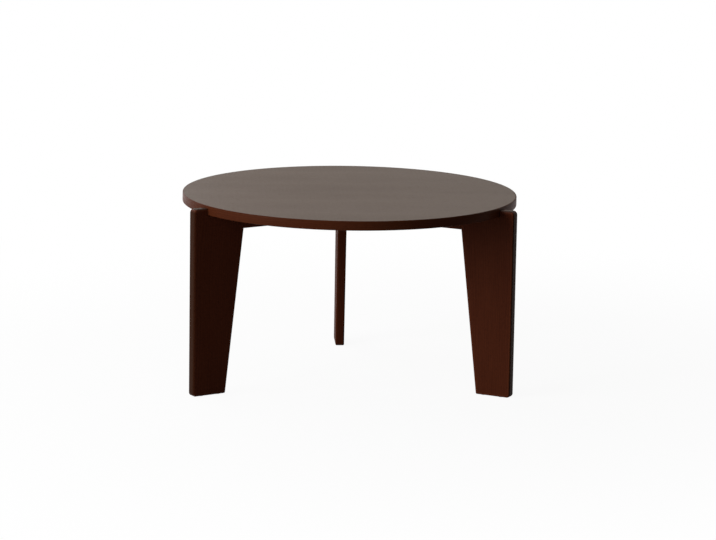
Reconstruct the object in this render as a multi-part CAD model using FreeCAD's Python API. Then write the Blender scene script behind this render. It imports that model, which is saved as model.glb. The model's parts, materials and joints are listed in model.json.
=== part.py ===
import FreeCAD, Part
import math
import os

# Round low table on three plank legs that stand outside its rim.
# Each leg is joined to a rail, and the three rails turn on one upright bolt at the hub,
# so the base swings shut once the loose top is lifted off.
# Lengths are millimetres and angles are degrees. +Z is up and +Y runs to the back leg.
# The origin is on the floor, under the middle of the plan outline.

# The whole table
table_height = 340.0
top_diameter = 600.0
hairline = 0.001

# The top: a round board with a thin solid lipping round its edge
top_thickness = 16.5
edge_band_thickness = 2.0
edge_band_ease = 1.5

# The legs: tapered planks whose outer part rises past the rim as a horn
arm_names = ["back", "left", "right"]
back_arm_angle = 90
full_turn = 360
leg_thickness = 16.5
leg_foot_width = 66.0
leg_seat_width = 105.0
horn_reach = 27.5
horn_drop = 4.5
horn_corner_radius = 7.5
foot_corner_radius = 6.0
board_ease = 1.2
rim_clearance = 0.4

# The rails: boards on edge between the legs and the hub, lapped in thirds at the hub
rail_depth = 28.5
rail_thickness = 16.5
lap_reach = 55.0
laps_from_below = ["right", "back", "left"]

# The dowels that join each rail to its leg
dowel_diameter = 8.0
dowel_length = 40.0
dowel_spacing = 14.0
dowel_end_room = 1.0
dowel_end_chamfer = 0.8

# The felt pads that the top lies on, sunk in the leg's seat and in the rail
pad_diameter = 11.0
pad_thickness = 2.0
pad_proud = 0.5
leg_pad_inset = 28.0
rail_pad_radius = 130.0

# The foot glides, sunk in the feet, and their nails
glide_diameter = 11.0
glide_thickness = 2.0
glide_proud = 0.6
glide_chamfer = 0.4
glide_edge_inset = 13.0
nail_diameter = 2.4
nail_length = 18.0
nail_head_diameter = 6.0
nail_head_thickness = 0.8
nail_head_sink = 0.4
nail_head_room = 0.3

# The hub: a sleeve nut as the axle, a bolt screwed into it, and washers between the laps
sleeve_diameter = 9.0
sleeve_flange_diameter = 14.0
sleeve_flange_thickness = 2.0
sleeve_end_room = 0.5
turning_clearance = 0.05
washer_diameter = 15.0
washer_thickness = 1.0
bolt_diameter = 6.0
bolt_length = 20.0
bolt_head_diameter = 13.5
bolt_head_thickness = 2.0
bolt_head_sink = 0.4
bolt_head_room = 0.4
hex_sides = 6
hex_key_size = 4.0
hex_key_depth = 1.4

# The stop plate under the hub, its screws, and the pins that the open side rails rest against
plate_thickness = 2.5
plate_bar_width = 15.0
stop_pin_diameter = 6.0
stop_pin_height = 14.0
stop_pin_chamfer = 0.6
stop_pin_lap_room = 10.0
stop_clearance = 0.1
screw_diameter = 3.5
screw_length = 16.0
screw_head_diameter = 7.0
screw_recess_span = 4.0
screw_recess_width = 1.0
screw_recess_depth = 1.4
screw_lap_room = 12.0
screw_spacing = 25.0

# Heights and radii that follow from the sizes above
top_radius = top_diameter / 2
underside_height = table_height - top_thickness
seat_height = underside_height - pad_proud
rail_bottom = seat_height - rail_depth
foot_height = glide_proud
horn_height = table_height - horn_drop
leg_outer_radius = top_radius + horn_reach
notch_radius = top_radius + rim_clearance
hub_offset = -horn_reach / 2
lap_count = len(laps_from_below)
lap_depth = (rail_depth - (lap_count - 1) * washer_thickness) / lap_count
sleeve_radius = sleeve_diameter / 2
bore_radius = sleeve_radius + turning_clearance
plate_bottom = rail_bottom - plate_thickness
bolt_head_top = seat_height - bolt_head_sink
bolt_head_bottom = bolt_head_top - bolt_head_thickness

Vector = FreeCAD.Vector
up = Vector(0, 0, 1)
centre = Vector(0, 0, 0)


def plank(outline, thickness):
    """Board that stands on edge along its arm, from an outline of (radius, height) corners."""
    corners = [Vector(radius, -thickness / 2, height) for radius, height in outline]
    return Part.Face(Part.makePolygon(corners + corners[:1])).extrude(Vector(0, thickness, 0))


def post(diameter, bottom, top, radius=0, side=0):
    """Upright cylinder between two heights, at a radius along the arm and a step to its side."""
    return Part.makeCylinder(diameter / 2, top - bottom, Vector(radius, side, bottom), up)


def rod(diameter, start, end):
    """Cylinder between two points."""
    return Part.makeCylinder(diameter / 2, (end - start).Length, start, end - start)


def face_edges(board, thickness):
    """Edges that bound the two wide faces of a board."""
    return [edge for edge in board.Edges
            if abs(abs(edge.CenterOfMass.y) - thickness / 2) < hairline]


def round_corner(board, corner, radius):
    """Round the board's corner at one (radius, height) place of its outline."""
    spot = Vector(corner[0], 0, corner[1])
    edges = [edge for edge in board.Edges if (edge.CenterOfMass - spot).Length < hairline]
    return board.makeFillet(radius, edges)


def arm_angle(arm):
    """Direction of an arm in the plan, anticlockwise from +X."""
    return back_arm_angle + full_turn * arm_names.index(arm) / len(arm_names)


def on_arm(shape, arm):
    """Copy of a piece, turned from the X direction to its arm and moved to the hub."""
    placed = shape.copy()
    placed.rotate(centre, up, arm_angle(arm))
    placed.translate(Vector(0, hub_offset, 0))
    return placed


def at_hub(shape):
    """Copy of a piece that is centred on the hub, moved to the hub."""
    placed = shape.copy()
    placed.translate(Vector(0, hub_offset, 0))
    return placed


def save(name, shape):
    """Write one sub-part."""
    shape.exportStep(os.path.join("parts", name + ".step"))


def leg_inner_radius(height):
    """Distance from the hub to the leg's slanting inner edge at a height."""
    share = (height - foot_height) / (seat_height - foot_height)
    width = leg_foot_width + share * (leg_seat_width - leg_foot_width)
    return leg_outer_radius - width


def dowel_heights():
    """Heights of the two dowels, one each side of the rail's middle."""
    middle = rail_bottom + rail_depth / 2
    return [middle - dowel_spacing / 2, middle + dowel_spacing / 2]


def dowel_rods(reach, chamfer=0):
    """Dowels, or their holes, reaching the same distance to each side of the slanting joint."""
    rods = []
    for height in dowel_heights():
        joint = Vector(leg_inner_radius(height), 0, height)
        stretch = Vector(reach, 0, 0)
        piece = rod(dowel_diameter, joint - stretch, joint + stretch)
        if chamfer:
            ends = [edge for edge in piece.Edges if len(edge.Vertexes) == 1]
            piece = piece.makeChamfer(chamfer, ends)
        rods.append(piece)
    return rods


def dowel_holes():
    """Cutters for the dowel holes, with room past each dowel's ends."""
    return dowel_rods(dowel_length / 2 + dowel_end_room)


def pad_radii():
    """Distances from the hub to the pad in the rail and the pad in the leg's seat."""
    return [rail_pad_radius, top_radius - leg_pad_inset]


def pad_discs():
    """Pads, which fill their pockets and stand a little proud of the seat."""
    bottom = underside_height - pad_thickness
    return [post(pad_diameter, bottom, underside_height, radius) for radius in pad_radii()]


def glide_radii():
    """Distances from the hub to the two glides under a foot, clear of the rounded corner."""
    inner = leg_inner_radius(foot_height) + glide_edge_inset
    return [inner, leg_outer_radius - foot_corner_radius - glide_edge_inset]


def glide_pockets():
    """Cutters for the glides' pockets and their nails' holes in the foot."""
    pockets = [post(glide_diameter, 0, glide_thickness, radius) for radius in glide_radii()]
    return pockets + [post(nail_diameter, 0, nail_top(), radius) for radius in glide_radii()]


def make_leg():
    """Tapered plank with a notch for the top's rim and pockets for its pad, dowels and glides."""
    wall_radius = math.sqrt(notch_radius ** 2 - (leg_thickness / 2) ** 2)
    foot_corner = (leg_outer_radius, foot_height)
    horn_corner = (leg_outer_radius, horn_height)
    outline = [
        (leg_inner_radius(foot_height), foot_height),
        (leg_inner_radius(seat_height), seat_height),
        (wall_radius, seat_height),
        (wall_radius, horn_height),
        horn_corner,
        foot_corner,
    ]
    leg = plank(outline, leg_thickness)
    leg = round_corner(leg, horn_corner, horn_corner_radius)
    leg = round_corner(leg, foot_corner, foot_corner_radius)
    outer_edges = [
        edge for edge in face_edges(leg, leg_thickness)
        if abs(edge.CenterOfMass.z - seat_height) > hairline
        and abs(edge.CenterOfMass.x - wall_radius) > hairline
    ]
    leg = leg.makeFillet(board_ease, outer_edges)
    rim_room = post(2 * notch_radius, seat_height, table_height)
    return leg.cut([rim_room] + dowel_holes() + pad_discs() + glide_pockets())


def make_rail(arm):
    """Rail with its slanting end on the leg and its third of the lap at the hub."""
    outline = [
        (lap_reach, rail_bottom),
        (leg_inner_radius(rail_bottom), rail_bottom),
        (leg_inner_radius(seat_height), seat_height),
        (lap_reach, seat_height),
    ]
    rail = plank(outline, rail_thickness)
    long_edges = [
        edge for edge in face_edges(rail, rail_thickness)
        if abs(edge.CenterOfMass.z - rail_bottom) < hairline
        or abs(edge.CenterOfMass.z - seat_height) < hairline
    ]
    rail = rail.makeFillet(board_ease, long_edges)
    lap_bottom = rail_bottom + laps_from_below.index(arm) * (lap_depth + washer_thickness)
    lap_top = lap_bottom + lap_depth
    tongue = plank([(0, lap_bottom), (lap_reach, lap_bottom), (lap_reach, lap_top), (0, lap_top)],
                   rail_thickness)
    eye = post(rail_thickness, lap_bottom, lap_top)
    rail = rail.fuse([tongue, eye]).removeSplitter()
    cutters = dowel_holes() + pad_discs() + [post(2 * bore_radius, lap_bottom, lap_top)]
    if arm == "left":
        cutters.append(post(bolt_head_diameter + 2 * bolt_head_room, bolt_head_bottom, seat_height))
    if arm == "back":
        cutters += screw_blanks()
    return rail.cut(cutters)


def nail_top():
    """Height of the tip of a glide nail."""
    return nail_head_sink + nail_head_thickness + nail_length


def make_glide(radius):
    """Nylon disc sunk in the foot, with a sunk bore for the nail's head."""
    disc = post(glide_diameter, 0, glide_thickness, radius)
    rim = [edge for edge in disc.Edges
           if len(edge.Vertexes) == 1 and edge.CenterOfMass.z < hairline]
    disc = disc.makeChamfer(glide_chamfer, rim)
    sink_diameter = nail_head_diameter + 2 * nail_head_room
    sink = post(sink_diameter, 0, nail_head_sink + nail_head_thickness, radius)
    return disc.cut([sink, post(nail_diameter, 0, glide_thickness, radius)])


def make_nail(radius):
    """Flat-headed nail with a pointed tip, driven up through a glide into the foot."""
    head_top = nail_head_sink + nail_head_thickness
    head = post(nail_head_diameter, nail_head_sink, head_top, radius)
    tip_bottom = nail_top() - nail_diameter
    shank = post(nail_diameter, head_top, tip_bottom, radius)
    tip = Part.makeCone(nail_diameter / 2, 0, nail_diameter, Vector(radius, 0, tip_bottom), up)
    return head.fuse([shank, tip])


def screw_radii():
    """Distances from the hub to the stop plate's screws, past the end of the lap."""
    first = lap_reach + screw_lap_room
    return [first, first + screw_spacing]


def screw_blanks():
    """Plain countersunk shapes of the plate's screws, and of their holes."""
    head_height = (screw_head_diameter - screw_diameter) / 2
    blanks = []
    for radius in screw_radii():
        foot = Vector(radius, 0, plate_bottom)
        head = Part.makeCone(screw_head_diameter / 2, screw_diameter / 2, head_height, foot, up)
        shank = post(screw_diameter, plate_bottom + head_height, plate_bottom + screw_length, radius)
        blanks.append(head.fuse(shank))
    return blanks


def make_plate_screws():
    """Countersunk screws up through the stop plate into the back rail, each with a cross recess."""
    recesses = []
    for radius in screw_radii():
        for length, width in ((screw_recess_span, screw_recess_width),
                              (screw_recess_width, screw_recess_span)):
            corner = Vector(radius - length / 2, -width / 2, plate_bottom)
            recesses.append(Part.makeBox(length, width, screw_recess_depth, corner))
    return [blank.cut(recesses) for blank in screw_blanks()]


def stop_pin_places():
    """Places of the two pins, on the side of each swinging rail that faces away from the back."""
    along = lap_reach + stop_pin_lap_room
    aside = rail_thickness / 2 + stop_clearance + stop_pin_diameter / 2
    places = []
    for arm, towards_front in (("left", 1), ("right", -1)):
        place = Vector(along, towards_front * aside, 0)
        turn = arm_angle(arm) - arm_angle("back")
        places.append(FreeCAD.Rotation(up, turn).multVec(place))
    return places


def plate_bar(end):
    """Flat bar with a round end, from the hub to one place under it."""
    bottom = Vector(0, 0, plate_bottom)
    half = Vector(-end.y, end.x, 0).normalize() * (plate_bar_width / 2)
    corners = [bottom - half, bottom + end - half, bottom + end + half, bottom + half]
    bar = Part.Face(Part.makePolygon(corners + corners[:1])).extrude(up * plate_thickness)
    return bar.fuse(post(plate_bar_width, plate_bottom, rail_bottom, end.x, end.y))


def make_stop_plate():
    """Flat three-armed steel plate, screwed under the back rail and pierced for the hub."""
    ends = [Vector(screw_radii()[-1], 0, 0)] + stop_pin_places()
    hub_disc = post(plate_bar_width, plate_bottom, rail_bottom)
    plate = hub_disc.fuse([plate_bar(end) for end in ends]).removeSplitter()
    holes = [post(2 * bore_radius, plate_bottom, rail_bottom)]
    holes += [post(stop_pin_diameter, plate_bottom, rail_bottom, place.x, place.y)
              for place in stop_pin_places()]
    return plate.cut(holes + screw_blanks())


def make_stop_pins():
    """Pins riveted in the plate, which stop the side rails when the base is open."""
    top = rail_bottom + stop_pin_height
    pins = []
    for place in stop_pin_places():
        pin = post(stop_pin_diameter, plate_bottom, top, place.x, place.y)
        rim = [edge for edge in pin.Edges
               if len(edge.Vertexes) == 1 and abs(edge.CenterOfMass.z - top) < hairline]
        pins.append(pin.makeChamfer(stop_pin_chamfer, rim))
    return pins


def hex_socket(bottom, top):
    """Cutter for a hexagonal key socket on the hub's axis."""
    corner_radius = hex_key_size / math.sqrt(3)
    turns = [math.radians(full_turn * side / hex_sides) for side in range(hex_sides)]
    corners = [Vector(corner_radius * math.cos(turn), corner_radius * math.sin(turn), bottom)
               for turn in turns]
    return Part.Face(Part.makePolygon(corners + corners[:1])).extrude(up * (top - bottom))


def make_sleeve_nut():
    """Sleeve nut: flange under the plate, smooth barrel as the axle, bored for the bolt."""
    flange_bottom = plate_bottom - sleeve_flange_thickness
    barrel_top = bolt_head_bottom - sleeve_end_room
    flange = post(sleeve_flange_diameter, flange_bottom, plate_bottom)
    barrel = post(sleeve_diameter, plate_bottom, barrel_top)
    thread = post(bolt_diameter, bolt_head_bottom - bolt_length, barrel_top)
    socket = hex_socket(flange_bottom, flange_bottom + hex_key_depth)
    return flange.fuse(barrel).cut([thread, socket])


def make_hub_bolt():
    """Low-headed bolt, screwed down into the sleeve nut."""
    head = post(bolt_head_diameter, bolt_head_bottom, bolt_head_top)
    rim = [edge for edge in head.Edges
           if len(edge.Vertexes) == 1 and abs(edge.CenterOfMass.z - bolt_head_top) < hairline]
    head = head.makeChamfer(bolt_head_thickness / 4, rim)
    shank = post(bolt_diameter, bolt_head_bottom - bolt_length, bolt_head_bottom)
    return head.fuse(shank).cut(hex_socket(bolt_head_top - hex_key_depth, bolt_head_top))


def make_hub_washers():
    """Washers that keep the three laps apart."""
    washers = []
    for level in range(1, lap_count):
        top = rail_bottom + level * (lap_depth + washer_thickness)
        ring = post(washer_diameter, top - washer_thickness, top)
        washers.append(ring.cut(post(2 * bore_radius, top - washer_thickness, top)))
    return washers


def make_top_board():
    """Round core of the top."""
    return post(top_diameter - 2 * edge_band_thickness, underside_height, table_height)


def make_edge_band():
    """Lipping round the core, with both outer edges eased."""
    ring = post(top_diameter, underside_height, table_height)
    rims = [edge for edge in ring.Edges if len(edge.Vertexes) == 1]
    ring = ring.makeFillet(edge_band_ease, rims)
    return ring.cut(make_top_board())


def write_arm(arm):
    """Write the pieces of one leg and its rail."""
    save(arm + "_leg", on_arm(make_leg(), arm))
    save(arm + "_rail", on_arm(make_rail(arm), arm))
    dowels = dowel_rods(dowel_length / 2, dowel_end_chamfer)
    save(arm + "_rail_dowels", on_arm(Part.makeCompound(dowels), arm))
    save(arm + "_top_pads", on_arm(Part.makeCompound(pad_discs()), arm))
    glides = [make_glide(radius) for radius in glide_radii()]
    save(arm + "_foot_glides", on_arm(Part.makeCompound(glides), arm))
    nails = [make_nail(radius) for radius in glide_radii()]
    save(arm + "_glide_nails", on_arm(Part.makeCompound(nails), arm))


def write_hub():
    """Write the pieces on the hub's axis and the stop plate under it."""
    save("hub_bolt", at_hub(make_hub_bolt()))
    save("hub_sleeve_nut", at_hub(make_sleeve_nut()))
    save("hub_washers", at_hub(Part.makeCompound(make_hub_washers())))
    save("stop_plate", on_arm(make_stop_plate(), "back"))
    save("stop_pins", on_arm(Part.makeCompound(make_stop_pins()), "back"))
    save("plate_screws", on_arm(Part.makeCompound(make_plate_screws()), "back"))


def write_top():
    """Write the two pieces of the top."""
    save("top_board", at_hub(make_top_board()))
    save("top_edge_band", at_hub(make_edge_band()))


os.makedirs("parts", exist_ok=True)
for arm_name in arm_names:
    write_arm(arm_name)
write_hub()
write_top()

open_angle = arm_angle("left") - arm_angle("back")
shut_angle = 2 * math.degrees(math.atan2(rail_thickness / 2, lap_reach))
print("rails meet after swinging", round(open_angle - shut_angle, 2), "degrees")
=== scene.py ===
import json
import logging
import math
from abc import ABC, abstractmethod
from dataclasses import dataclass
from enum import Enum
from typing import Iterable, NamedTuple, Optional, Sequence, Union

import bmesh
import bpy
from mathutils import Matrix, Quaternion, Vector


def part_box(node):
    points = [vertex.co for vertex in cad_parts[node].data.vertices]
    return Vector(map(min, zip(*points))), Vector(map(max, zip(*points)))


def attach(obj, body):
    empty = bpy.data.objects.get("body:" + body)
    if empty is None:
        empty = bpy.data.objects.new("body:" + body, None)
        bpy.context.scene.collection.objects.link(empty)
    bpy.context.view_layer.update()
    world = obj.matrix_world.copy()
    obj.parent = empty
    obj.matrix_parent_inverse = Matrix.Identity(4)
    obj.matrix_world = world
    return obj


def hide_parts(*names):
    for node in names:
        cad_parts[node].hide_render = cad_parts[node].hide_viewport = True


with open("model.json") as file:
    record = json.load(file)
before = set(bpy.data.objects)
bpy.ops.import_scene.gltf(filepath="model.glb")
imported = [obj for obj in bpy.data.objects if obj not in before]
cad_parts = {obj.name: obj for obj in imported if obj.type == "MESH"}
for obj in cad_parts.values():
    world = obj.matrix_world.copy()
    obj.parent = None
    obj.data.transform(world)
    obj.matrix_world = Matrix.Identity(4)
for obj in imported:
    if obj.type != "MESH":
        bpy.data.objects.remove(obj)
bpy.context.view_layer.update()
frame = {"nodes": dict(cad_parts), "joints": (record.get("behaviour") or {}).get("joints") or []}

# Low round table with three plank legs: its finishes, the pieces that are modelled here, and the studio.
# Lengths are metres and angles are degrees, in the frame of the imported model.

log = logging.getLogger("table")

Colour = tuple[float, float, float]
Pair = tuple[float, float]
Shape = bmesh.types.BMesh
Edge = bmesh.types.BMEdge
Node = bpy.types.Node
Socket = bpy.types.NodeSocket
Feed = Union["Value", Socket, float, Sequence[float]]
Feeds = dict[Union[int, str], Feed]

WHITE: Colour = (1.0, 1.0, 1.0)
# Points of a mesh closer than this are one point.
TOUCHING = 1e-6
# Measured places closer than this are one place.
NEAR = 1e-5
# A face whose normal rises or falls by more than this counts as level.
LEVEL = 0.5
# Name of the mesh layer that tells where the finish is rubbed.
WEAR = "eased"


def toned(colour: Colour, share: float) -> Colour:
    """A colour made brighter or darker."""
    return tuple(part * share for part in colour)


class Value:
    """Number in a shader tree that takes part in Python expressions."""

    def __init__(self, tree: "ShaderTree", socket: Socket) -> None:
        """Wrap an output socket of a tree."""
        self.tree = tree
        self.socket = socket

    def __add__(self, other: Feed) -> "Value":
        """Sum."""
        return self.tree.maths("ADD", self, other)

    def __sub__(self, other: Feed) -> "Value":
        """Difference."""
        return self.tree.maths("SUBTRACT", self, other)

    def __rsub__(self, other: Feed) -> "Value":
        """Difference with a plain number on the left."""
        return self.tree.maths("SUBTRACT", other, self)

    def __mul__(self, other: Feed) -> "Value":
        """Product."""
        return self.tree.maths("MULTIPLY", self, other)

    def __truediv__(self, other: Feed) -> "Value":
        """Quotient."""
        return self.tree.maths("DIVIDE", self, other)

    def __pow__(self, other: Feed) -> "Value":
        """Power."""
        return self.tree.maths("POWER", self, other)

    def __or__(self, other: Feed) -> "Value":
        """The larger of two masks."""
        return self.tree.maths("MAXIMUM", self, other)

    __radd__ = __add__
    __rmul__ = __mul__


class ShaderTree:
    """Node tree of a material or of the world, filled through add()."""

    def __init__(self, owner: Union[bpy.types.Material, bpy.types.World]) -> None:
        """Start with an empty tree.

        Args:
            owner: The material or world whose tree is filled.
        """
        owner.use_nodes = True
        self.nodes = owner.node_tree.nodes
        self.links = owner.node_tree.links
        self.nodes.clear()

    def add(
        self, kind: str, settings: Optional[dict[str, object]] = None, inputs: Optional[Feeds] = None
    ) -> Node:
        """Add one node.

        Args:
            kind: The node's type, without the words ShaderNode.
            settings: Properties that are set first; stops are a colour ramp's (position, grey) pairs.
            inputs: Values or links of the sockets, by name or number.

        Returns:
            The new node.
        """
        node = self.nodes.new("ShaderNode" + kind)
        for name, setting in (settings or {}).items():
            if name == "stops":
                self._set_stops(node.color_ramp, setting)
            else:
                setattr(node, name, setting)
        for name, feed in (inputs or {}).items():
            self._feed(self._socket(node.inputs, name), feed)
        return node

    @staticmethod
    def _set_stops(ramp: bpy.types.ColorRamp, stops: Sequence[Pair]) -> None:
        """Give a ramp its grey stops.

        Args:
            ramp: The ramp.
            stops: The (position, grey) of each stop.
        """
        while len(ramp.elements) < len(stops):
            ramp.elements.new(0.5)
        for element, (position, grey) in zip(ramp.elements, stops):
            element.position = position
            element.color = (grey, grey, grey, 1.0)

    @staticmethod
    def _socket(sockets: Iterable[Socket], name: Union[int, str]) -> Socket:
        """Find a socket.

        Args:
            sockets: The sockets of one side of a node.
            name: Name or number of the socket.

        Returns:
            The enabled socket of that name, or the socket of that number.
        """
        if isinstance(name, int):
            return list(sockets)[name]
        return next(socket for socket in sockets if socket.name == name and socket.enabled)

    def _feed(self, socket: Socket, feed: Feed) -> None:
        """Link a socket, or set its own value.

        Args:
            socket: The input socket.
            feed: What it is linked to, or its value.
        """
        if isinstance(feed, Value):
            self.links.new(feed.socket, socket)
        elif isinstance(feed, Socket):
            self.links.new(feed, socket)
        elif socket.type == "RGBA":
            socket.default_value = (*feed, 1.0)
        else:
            socket.default_value = feed

    def out(self, node: Node, name: Union[int, str] = 0) -> Value:
        """An output of a node as a value."""
        return Value(self, self._socket(node.outputs, name))

    def maths(self, operation: str, *terms: Feed) -> Value:
        """Result of one Math node on some numbers or values."""
        return self.out(self.add("Math", {"operation": operation}, dict(enumerate(terms))))

    def smooth(self, value: Value, low: float, high: float) -> Value:
        """Mask that rises smoothly from 0 at low to 1 at high."""
        limits = {"Value": value, "From Min": low, "From Max": high}
        return self.out(self.add("MapRange", {"interpolation_type": "SMOOTHSTEP"}, limits))

    def noise(self, place: Feed, layers: float, strength: float = 0.5) -> Value:
        """Cloud of values around a half, at a scale of 1.

        Args:
            place: Vector that is already scaled to the size of the pattern.
            layers: How many finer layers are added.
            strength: How strong the finer layers are.

        Returns:
            The cloud as a value.
        """
        inputs = {"Vector": place, "Scale": 1.0, "Detail": layers, "Roughness": strength}
        return self.out(self.add("TexNoise", {"noise_dimensions": "3D"}, inputs), "Fac")

    def place(self) -> Socket:
        """Place of a point in the table's frame."""
        return self.add("TexCoord").outputs["Object"]

    def cloud(self, fineness: float, layers: float, strength: float = 0.5) -> Value:
        """Noise over a piece, with patches as small as the fineness is large."""
        scaled = self.add("VectorMath", {"operation": "SCALE"}, {"Vector": self.place(), "Scale": fineness})
        return self.noise(scaled.outputs[0], layers, strength)

    def vector(self, x: Feed, y: Feed, z: Feed) -> Socket:
        """Vector from three numbers."""
        return self.add("CombineXYZ", inputs={"X": x, "Y": y, "Z": z}).outputs[0]

    def blend(self, mask: Feed, first: Feed, second: Feed) -> Socket:
        """Colour between two others.

        Args:
            mask: Number from 0, which gives the first colour, to 1, which gives the second.
            first: The first colour.
            second: The second colour.

        Returns:
            The colour's socket.
        """
        settings = {"data_type": "RGBA", "clamp_factor": True}
        node = self.add("Mix", settings, {"Factor": mask, "A": first, "B": second})
        return self._socket(node.outputs, "Result")

    def mix(self, mask: Feed, first: Node, second: Node) -> Node:
        """Shader that goes from the first to the second as the mask rises."""
        return self.add("MixShader", inputs={0: mask, 1: first.outputs[0], 2: second.outputs[0]})

    def bump(self, height: Value, depth: float) -> Socket:
        """Normal that follows a height map, which goes from 0 to 1 over a depth in metres."""
        return self.add("Bump", inputs={"Height": height, "Distance": depth, "Strength": 1.0}).outputs[0]

    def close(self, shader: Node, kind: str = "OutputMaterial") -> None:
        """Lead the last shader to the output."""
        self.add(kind, inputs={"Surface": shader.outputs[0]})


@dataclass(frozen=True)
class Finish(ABC):
    """Something that a surface is finished with.

    Attributes:
        name: Name of the material.
    """

    name: str

    @abstractmethod
    def _surface(self, tree: ShaderTree) -> Feeds:
        """Patterns and values of the surface.

        Args:
            tree: The material's tree, to which the patterns' nodes are added.

        Returns:
            The inputs of the surface's shader, by name.
        """

    def material(self) -> bpy.types.Material:
        """Make the material.

        Returns:
            The new material.
        """
        made = bpy.data.materials.new(self.name)
        tree = ShaderTree(made)
        tree.close(tree.add("BsdfPrincipled", inputs=self._surface(tree)))
        return made


class Grain(Enum):
    """How the grain lies in a board's own coordinates, as its (along, across, through) axes."""

    UPRIGHT = (2, 0, 1)
    OUTWARD = (0, 2, 1)
    SIDEWAYS = (0, 1, 2)
    ROUND_THE_RIM = ()


class GrainNoise(NamedTuple):
    """Noise drawn out along the grain: its fineness both ways, its finer layers and their strength."""

    along: float
    across: float
    layers: float
    strength: float = 0.5


@dataclass(frozen=True)
class StainedWood(Finish):
    """Wood under a dark stain and a satin lacquer. Its figure runs through the whole board.

    Attributes:
        pale: Colour where the wood takes least stain.
        deep: Colour where it takes most.
        pore: Colour inside the pores.
        grain: How the grain lies in the board.
        placing: The board's own frame in the table's frame.
        pith: Place of the tree's pith from the board's axis, across and through the board.
        slope: How far the pith runs aside for each metre along the board.
        ring_spacing: Mean width of a growth ring.
        ring_depth: Share of the tone that the rings take.
        fibre_depth: Share of the tone that the fibres take.
        blotch_depth: Share of the tone that the uneven stain takes.
        pore_share: How much the pores show.
        roughness: Mean roughness of the lacquer.
        gloss: Specular level of the lacquer.
        rubbed: How much paler the eased edges are.
        edge_places: Where the board's dark end and dark edge are, along it and across it, or nothing.
        edge_depth: How far in the darker colour starts to show.
        edge_stain: Darker colour of that end, whose end grain takes more stain, and of that edge, which is
            simply given the same darker colour.
        end_coat: Weight of a second coat of lacquer on that end.
        coat_depth: How far in that coat starts.
        leaf_width: Width of a veneer leaf, or nothing for solid wood.
    """

    pale: Colour
    deep: Colour
    pore: Colour
    grain: Grain
    placing: Matrix
    pith: Pair = (0.03, 0.07)
    slope: float = 0.03
    ring_spacing: float = 0.0034
    ring_depth: float = 0.5
    fibre_depth: float = 0.7
    blotch_depth: float = 0.55
    pore_share: float = 0.6
    roughness: float = 0.42
    gloss: float = 0.08
    rubbed: float = 0.0
    edge_places: tuple[float, ...] = ()
    edge_depth: float = 0.0032
    edge_stain: Colour = (0.0305, 0.0107, 0.005)
    end_coat: float = 0.12
    coat_depth: float = 0.007
    leaf_width: float = 0.0

    # Two kinds of noise that bend the rings, and how far each bends them.
    DRIFT = GrainNoise(3.5, 9.0, 1.0)
    DRIFT_REACH = 0.024
    RIPPLE = GrainNoise(14.0, 60.0, 2.0)
    RIPPLE_REACH = 0.0028
    # Noise along the tree's radius that makes some rings wider: its fineness and its reach.
    WANDER_FINENESS = 90.0
    WANDER_REACH = 0.006
    # Tone across a ring, the tone that counts as its middle, and how much its late wood shuts the pores.
    RING_STOPS = ((0.0, 0.2), (0.6, 0.42), (0.9, 0.86), (1.0, 0.2))
    RING_MIDDLE = 0.42
    PORE_SHUTTING = 0.5
    FIBRES = GrainNoise(22.0, 900.0, 3.0, 0.62)
    CELLS = GrainNoise(130.0, 2300.0, 0.0)
    BLOTCHES = GrainNoise(5.0, 17.0, 2.0)
    # Where a cell begins to be a pore and where it is one, and how much two veneer leaves differ.
    PORE_LIMITS = (0.62, 0.74)
    LEAF_CONTRAST = 0.22
    # Wear of an eased edge between its fibres, and what the fibres add to it.
    LEAST_WEAR = 0.35
    FIBRE_WEAR = 0.5
    # What pores, fibres and uneven stain add to the roughness, and the relief of the surface.
    PORE_ROUGHNESS = 0.12
    FIBRE_ROUGHNESS = 0.08
    BLOTCH_ROUGHNESS = 0.06
    FIBRE_RELIEF = 0.35
    RELIEF_DEPTH = 0.00003

    def _board_axes(self, tree: ShaderTree) -> tuple[Value, Value, Value]:
        """Distances along the grain, across the board and through it.

        Args:
            tree: The material's tree.

        Returns:
            The three distances.
        """
        board = {
            "Vector": tree.place(),
            "Location": self.placing.to_translation(),
            "Rotation": self.placing.to_euler(),
        }
        turned_place = tree.add("Mapping", {"vector_type": "TEXTURE"}, board).outputs[0]
        split = tree.add("SeparateXYZ", inputs={0: turned_place})
        axes = [tree.out(split, number) for number in range(3)]
        if self.grain is Grain.ROUND_THE_RIM:
            radius = (axes[0] * axes[0] + axes[1] * axes[1]) ** 0.5
            turn = tree.maths("ARCTAN2", axes[0], 0.0 - axes[1])
            rim = TableSizes.read().top_radius
            return turn * rim, axes[2], radius - rim
        along, across, through = (axes[number] for number in self.grain.value)
        return along, across, through

    def _figure(self, tree: ShaderTree, axes: Sequence[Value]) -> tuple[Value, Value, Value, Value]:
        """Growth rings, fibres, pores and uneven stain, each from 0 to 1.

        Args:
            tree: The material's tree.
            axes: Distances along the grain, across the board and through it.

        Returns:
            The four patterns.
        """
        along, across, through = axes
        leaf_tone: Feed = 0.0
        if self.leaf_width:
            leaf = tree.maths("FLOOR", across / self.leaf_width)
            leaf_tone = tree.out(tree.add("TexWhiteNoise", {"noise_dimensions": "1D"}, {"W": leaf})) - 0.5
            across = tree.maths("PINGPONG", across, self.leaf_width)

        def spread(noise: GrainNoise) -> Value:
            """The noise over the board."""
            place = tree.vector(along * noise.along, across * noise.across, through * noise.across)
            return tree.noise(place, noise.layers, noise.strength)

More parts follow.
